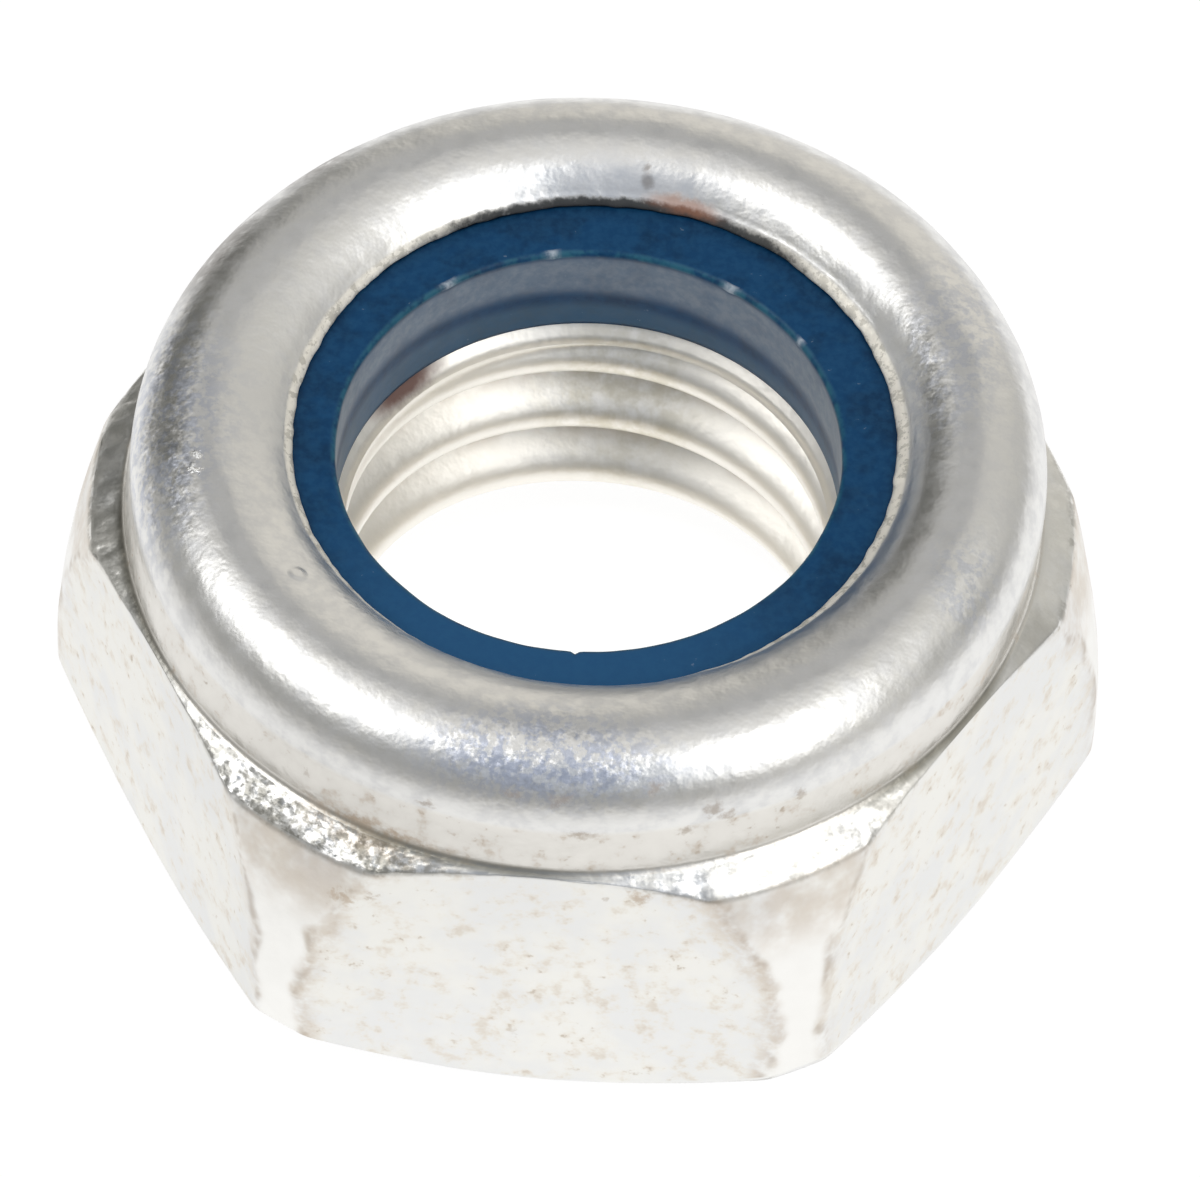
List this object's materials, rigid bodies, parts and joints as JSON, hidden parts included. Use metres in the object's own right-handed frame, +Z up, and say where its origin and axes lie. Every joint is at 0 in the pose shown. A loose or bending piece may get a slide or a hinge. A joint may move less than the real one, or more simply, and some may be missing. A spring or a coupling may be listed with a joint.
{
  "type": "nylon insert lock nut",
  "caption": "Thin hexagon wheel nut in zinc-plated steel whose rolled collar traps a blue nylon ring that grips the bolt's thread.",
  "frame": {"origin": "centre of the bearing face, on the thread axis", "axes": "+Z up the thread axis from the bearing face to the rolled collar; two corners of the hexagon lie on +X and -X, and flats face +Y and -Y"},
  "size_m": [0.0146, 0.013, 0.0066],
  "materials": {
    "zinc_steel": "bright zinc plating over cold-forged steel, satin grain, worn edges, small rust and dirt specks",
    "blue_nylon": "satin blue nylon"
  },
  "bodies": {
    "root": {"nut_body": "zinc_steel", "nylon_insert": "blue_nylon"}
  },
  "joints": []
}
